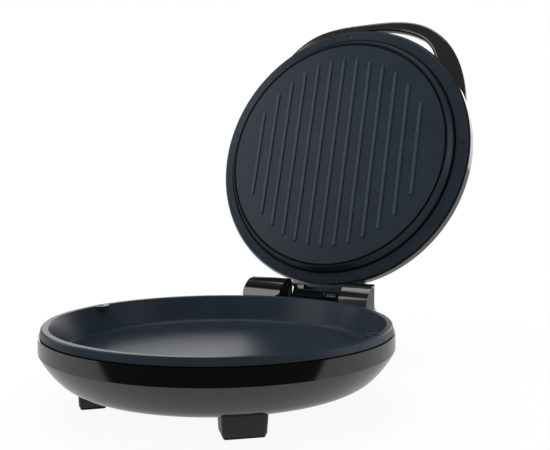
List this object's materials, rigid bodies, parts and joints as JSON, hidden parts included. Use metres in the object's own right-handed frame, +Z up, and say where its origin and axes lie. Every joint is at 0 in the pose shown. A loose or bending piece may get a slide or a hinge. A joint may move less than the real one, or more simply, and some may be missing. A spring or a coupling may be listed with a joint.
{
  "type": "electric pizza maker",
  "caption": "Round countertop pizza maker: a dished pan in a bowl-shaped housing and a hinged lid with a ridged plate and a loop handle, standing open.",
  "frame": {"origin": "on the table, under the middle of the pan", "axes": "+Z up; the hinge is at the back, +Y; the handle of the closed lid points to the front, -Y; +X is the right-hand side seen from the front"},
  "size_m": [0.3372, 0.5253, 0.4254],
  "materials": {
    "housing_plastic": "gloss, moulded black",
    "foot_plastic": "satin",
    "pad_rubber": "matte",
    "nonstick_coating": "satin non-stick coating on die-cast aluminium",
    "screw_steel": "bright zinc",
    "element_sheath": "dull",
    "bracket_steel": "zinc",
    "reflector_sheet": "bright sheet",
    "thermostat_case": "satin",
    "fuse_sleeve": "woven glass sleeve",
    "terminal_plastic": "ceramic white",
    "lead_insulation": "silicone",
    "red_lens": "clear, tinted",
    "green_lens": "clear, tinted",
    "lamp_holder_plastic": "matte"
  },
  "bodies": {
    "base": {"base_housing": "housing_plastic", "base_pan": "nonstick_coating", "pan_screws": "screw_steel", "foot_front_left": "foot_plastic", "foot_front_right": "foot_plastic", "foot_rear_left": "foot_plastic", "foot_rear_right": "foot_plastic", "foot_pads": "pad_rubber", "foot_screws": "screw_steel", "hinge_tower_left": "housing_plastic", "hinge_tower_right": "housing_plastic", "tower_screws": "screw_steel", "hinge_bridge": "housing_plastic", "hinge_rod": "screw_steel", "base_heating_element": "element_sheath", "base_element_clamps": "bracket_steel", "base_reflector": "reflector_sheet", "base_reflector_screws": "screw_steel", "base_thermostat": "thermostat_case", "thermal_fuse": "fuse_sleeve", "terminal_block": "terminal_plastic", "power_leads": "lead_insulation", "cord_gland": "pad_rubber"},
    "lid": {"lid_housing": "housing_plastic", "lid_handle": "housing_plastic", "lid_plate": "nonstick_coating", "lid_plate_screws": "screw_steel", "lid_heating_element": "element_sheath", "lid_element_clamps": "bracket_steel", "lid_reflector": "reflector_sheet", "lid_reflector_screws": "screw_steel", "lid_thermostat": "thermostat_case", "power_lamp_lens": "red_lens", "ready_lamp_lens": "green_lens", "lamp_holder": "lamp_holder_plastic", "lid_hinge_arm": "housing_plastic", "arm_screws": "screw_steel"}
  },
  "joints": [
    {"name": "lid_hinge", "type": "hinge", "parent": "base", "child": "lid", "pos_m": [0, 0.19175, 0.06515], "axis": [1, 0, 0], "range_deg": [0, 105.8]}
  ]
}
